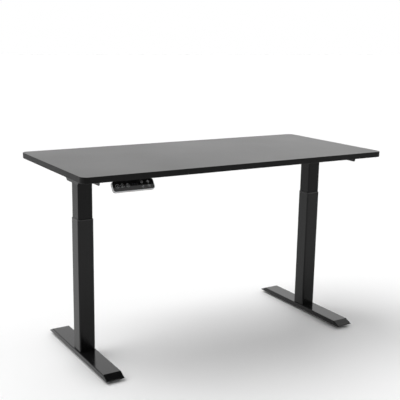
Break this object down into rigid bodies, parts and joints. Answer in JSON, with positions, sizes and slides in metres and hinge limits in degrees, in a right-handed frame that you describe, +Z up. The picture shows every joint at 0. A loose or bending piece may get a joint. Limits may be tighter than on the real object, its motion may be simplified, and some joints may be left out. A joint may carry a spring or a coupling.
{
  "type": "height adjustable standing desk",
  "caption": "Sit-stand desk: black laminate desktop on a width-adjustable steel frame with motorised telescoping legs, T-shaped feet with levelling glides, control box and key handset.",
  "frame": {"origin": "on the floor, midway between the two legs and midway between the desktop's front and back edges", "axes": "+X along the desktop's length to the user's right, +Y from the user's side to the back, +Z up"},
  "size_m": [1.524, 0.7, 0.87],
  "materials": {
    "foot_paint": "semi-matt powder coat",
    "column_paint": "semi-matt powder coat",
    "inner_column_paint": "satin powder coat",
    "bracket_paint": "semi-matt powder coat",
    "rail_paint": "semi-matt powder coat",
    "pan_paint": "semi-matt powder coat",
    "cover_paint": "satin powder coat",
    "centre_rail_paint": "semi-matt powder coat",
    "plate_paint": "semi-matt powder coat",
    "lid_paint": "satin powder coat",
    "bolt_zinc": "zinc plated",
    "screw_zinc": "black zinc plated",
    "wood_screw_zinc": "zinc plated",
    "stud_zinc": "zinc plated",
    "collar_plastic": "matt",
    "glide_plastic": "natural acetal",
    "nut_plastic": "natural acetal",
    "box_plastic": "matt",
    "push_tube_steel": "plain tube",
    "spindle_steel": "rolled thread, greased",
    "shaft_steel": "ground",
    "motor_steel": "satin",
    "gearbox_alloy": "die cast",
    "wheel_bronze": "machined",
    "pad_rubber": "matt",
    "buffer_rubber": "matt",
    "circuit_board": "satin",
    "handset_circuit": "satin",
    "laminate": "satin melamine on particle board",
    "shell_plastic": "satin",
    "panel_gloss": "gloss",
    "display_window": "gloss, tinted",
    "ring_button_plastic": "gloss",
    "small_button_plastic": "gloss"
  },
  "bodies": {
    "left_base": {"left_foot": "foot_paint", "left_outer_column": "column_paint", "left_foot_bolts": "bolt_zinc", "left_column_collar": "collar_plastic", "left_push_tube": "push_tube_steel", "left_spindle_nut": "nut_plastic"},
    "frame_and_top": {"left_inner_column": "inner_column_paint", "left_motor_pan": "pan_paint", "left_gearbox": "gearbox_alloy", "left_motor": "motor_steel", "left_side_bracket": "bracket_paint", "left_outer_rails": "rail_paint", "right_inner_column": "inner_column_paint", "right_motor_pan": "pan_paint", "right_gearbox": "gearbox_alloy", "right_motor": "motor_steel", "right_side_bracket": "bracket_paint", "right_outer_rails": "rail_paint", "inner_glides": "glide_plastic", "motor_covers": "cover_paint", "bracket_buffers": "buffer_rubber", "centre_rails": "centre_rail_paint", "cross_plates": "plate_paint", "frame_screws": "screw_zinc", "control_box_base": "box_plastic", "control_box_lid": "lid_paint", "control_board": "circuit_board", "desktop": "laminate", "desktop_screws": "wood_screw_zinc", "handset_shell": "shell_plastic", "handset_face": "panel_gloss", "handset_display": "display_window", "handset_board": "handset_circuit"},
    "right_base": {"right_foot": "foot_paint", "right_outer_column": "column_paint", "right_foot_bolts": "bolt_zinc", "right_column_collar": "collar_plastic", "right_push_tube": "push_tube_steel", "right_spindle_nut": "nut_plastic"},
    "left_lifting_screw": {"left_spindle": "spindle_steel", "left_worm_wheel": "wheel_bronze"},
    "left_motor_shaft": {"left_motor_rotor": "shaft_steel"},
    "right_lifting_screw": {"right_spindle": "spindle_steel", "right_worm_wheel": "wheel_bronze"},
    "right_motor_shaft": {"right_motor_rotor": "shaft_steel"},
    "left_front_glide_pad": {"left_front_glide_pad": "pad_rubber"},
    "left_front_glide_stud": {"left_front_glide_stud": "stud_zinc"},
    "left_back_glide_pad": {"left_back_glide_pad": "pad_rubber"},
    "left_back_glide_stud": {"left_back_glide_stud": "stud_zinc"},
    "right_front_glide_pad": {"right_front_glide_pad": "pad_rubber"},
    "right_front_glide_stud": {"right_front_glide_stud": "stud_zinc"},
    "right_back_glide_pad": {"right_back_glide_pad": "pad_rubber"},
    "right_back_glide_stud": {"right_back_glide_stud": "stud_zinc"},
    "memory_1_key": {"memory_1_button": "ring_button_plastic"},
    "memory_2_key": {"memory_2_button": "ring_button_plastic"},
    "memory_3_key": {"memory_3_button": "ring_button_plastic"},
    "up_key": {"up_button": "small_button_plastic"},
    "set_key": {"set_button": "small_button_plastic"},
    "down_key": {"down_button": "small_button_plastic"},
    "timer_key": {"timer_button": "small_button_plastic"}
  },
  "joints": [
    {"name": "left_lift", "type": "slide", "parent": "left_base", "child": "frame_and_top", "axis": [0, 0, 1], "range_m": [-0.15, 0.35]},
    {"name": "right_lift", "type": "slide", "parent": "frame_and_top", "child": "right_base", "axis": [0, 0, 1], "range_m": [-0.35, 0.15]},
    {"name": "left_screw_turn", "type": "hinge", "parent": "frame_and_top", "child": "left_lifting_screw", "pos_m": [-0.618, 0, 0.8], "axis": [0, 0, 1], "range_deg": [-3380, 7880]},
    {"name": "left_motor_turn", "type": "hinge", "parent": "frame_and_top", "child": "left_motor_shaft", "pos_m": [-0.618, -0.016, 0.8195], "axis": [1, 0, 0], "range_deg": [-59100, 25350]},
    {"name": "right_screw_turn", "type": "hinge", "parent": "frame_and_top", "child": "right_lifting_screw", "pos_m": [0.618, 0, 0.8], "axis": [0, 0, 1], "range_deg": [-3380, 7880]},
    {"name": "right_motor_turn", "type": "hinge", "parent": "frame_and_top", "child": "right_motor_shaft", "pos_m": [0.618, -0.016, 0.8195], "axis": [1, 0, 0], "range_deg": [-59100, 25350]},
    {"name": "left_front_glide_height", "type": "slide", "parent": "left_base", "child": "left_front_glide_pad", "axis": [0, 0, 1], "range_m": [-0.01, 0]},
    {"name": "left_front_glide_turn", "type": "hinge", "parent": "left_front_glide_pad", "child": "left_front_glide_stud", "pos_m": [-0.618, -0.2465, 0.01], "axis": [0, 0, 1], "range_deg": [-2890, 10]},
    {"name": "left_back_glide_height", "type": "slide", "parent": "left_base", "child": "left_back_glide_pad", "axis": [0, 0, 1], "range_m": [-0.01, 0]},
    {"name": "left_back_glide_turn", "type": "hinge", "parent": "left_back_glide_pad", "child": "left_back_glide_stud", "pos_m": [-0.618, 0.2465, 0.01], "axis": [0, 0, 1], "range_deg": [-2890, 10]},
    {"name": "right_front_glide_height", "type": "slide", "parent": "right_base", "child": "right_front_glide_pad", "axis": [0, 0, 1], "range_m": [-0.01, 0]},
    {"name": "right_front_glide_turn", "type": "hinge", "parent": "right_front_glide_pad", "child": "right_front_glide_stud", "pos_m": [0.618, -0.2465, 0.01], "axis": [0, 0, 1], "range_deg": [-2890, 10]},
    {"name": "right_back_glide_height", "type": "slide", "parent": "right_base", "child": "right_back_glide_pad", "axis": [0, 0, 1], "range_m": [-0.01, 0]},
    {"name": "right_back_glide_turn", "type": "hinge", "parent": "right_back_glide_pad", "child": "right_back_glide_stud", "pos_m": [0.618, 0.2465, 0.01], "axis": [0, 0, 1], "range_deg": [-2890, 10]},
    {"name": "memory_1_press", "type": "slide", "parent": "frame_and_top", "child": "memory_1_key", "axis": [0, 0.8192, -0.5736], "range_m": [0, 0.0008], "stiffness_N_per_m": 800, "springref_m": -0.0006},
    {"name": "memory_2_press", "type": "slide", "parent": "frame_and_top", "child": "memory_2_key", "axis": [0, 0.8192, -0.5736], "range_m": [0, 0.0008], "stiffness_N_per_m": 800, "springref_m": -0.0006},
    {"name": "memory_3_press", "type": "slide", "parent": "frame_and_top", "child": "memory_3_key", "axis": [0, 0.8192, -0.5736], "range_m": [0, 0.0008], "stiffness_N_per_m": 800, "springref_m": -0.0006},
    {"name": "up_press", "type": "slide", "parent": "frame_and_top", "child": "up_key", "axis": [0, 0.8192, -0.5736], "range_m": [0, 0.0008], "stiffness_N_per_m": 800, "springref_m": -0.0006},
    {"name": "set_press", "type": "slide", "parent": "frame_and_top", "child": "set_key", "axis": [0, 0.8192, -0.5736], "range_m": [0, 0.0008], "stiffness_N_per_m": 800, "springref_m": -0.0006},
    {"name": "down_press", "type": "slide", "parent": "frame_and_top", "child": "down_key", "axis": [0, 0.8192, -0.5736], "range_m": [0, 0.0008], "stiffness_N_per_m": 800, "springref_m": -0.0006},
    {"name": "timer_press", "type": "slide", "parent": "frame_and_top", "child": "timer_key", "axis": [0, 0.8192, -0.5736], "range_m": [0, 0.0008], "stiffness_N_per_m": 800, "springref_m": -0.0006}
  ],
  "couplings": [
    {"joint": "right_lift", "follows": "left_lift", "ratio": -1},
    {"joint": "left_screw_turn", "follows": "left_lift", "rad_per_m": 392.7},
    {"joint": "left_motor_turn", "follows": "left_lift", "rad_per_m": -2945.2},
    {"joint": "right_screw_turn", "follows": "left_lift", "rad_per_m": 392.7},
    {"joint": "right_motor_turn", "follows": "left_lift", "rad_per_m": -2945.2},
    {"joint": "left_front_glide_turn", "follows": "left_front_glide_height", "rad_per_m": 5026.5},
    {"joint": "left_back_glide_turn", "follows": "left_back_glide_height", "rad_per_m": 5026.5},
    {"joint": "right_front_glide_turn", "follows": "right_front_glide_height", "rad_per_m": 5026.5},
    {"joint": "right_back_glide_turn", "follows": "right_back_glide_height", "rad_per_m": 5026.5}
  ]
}
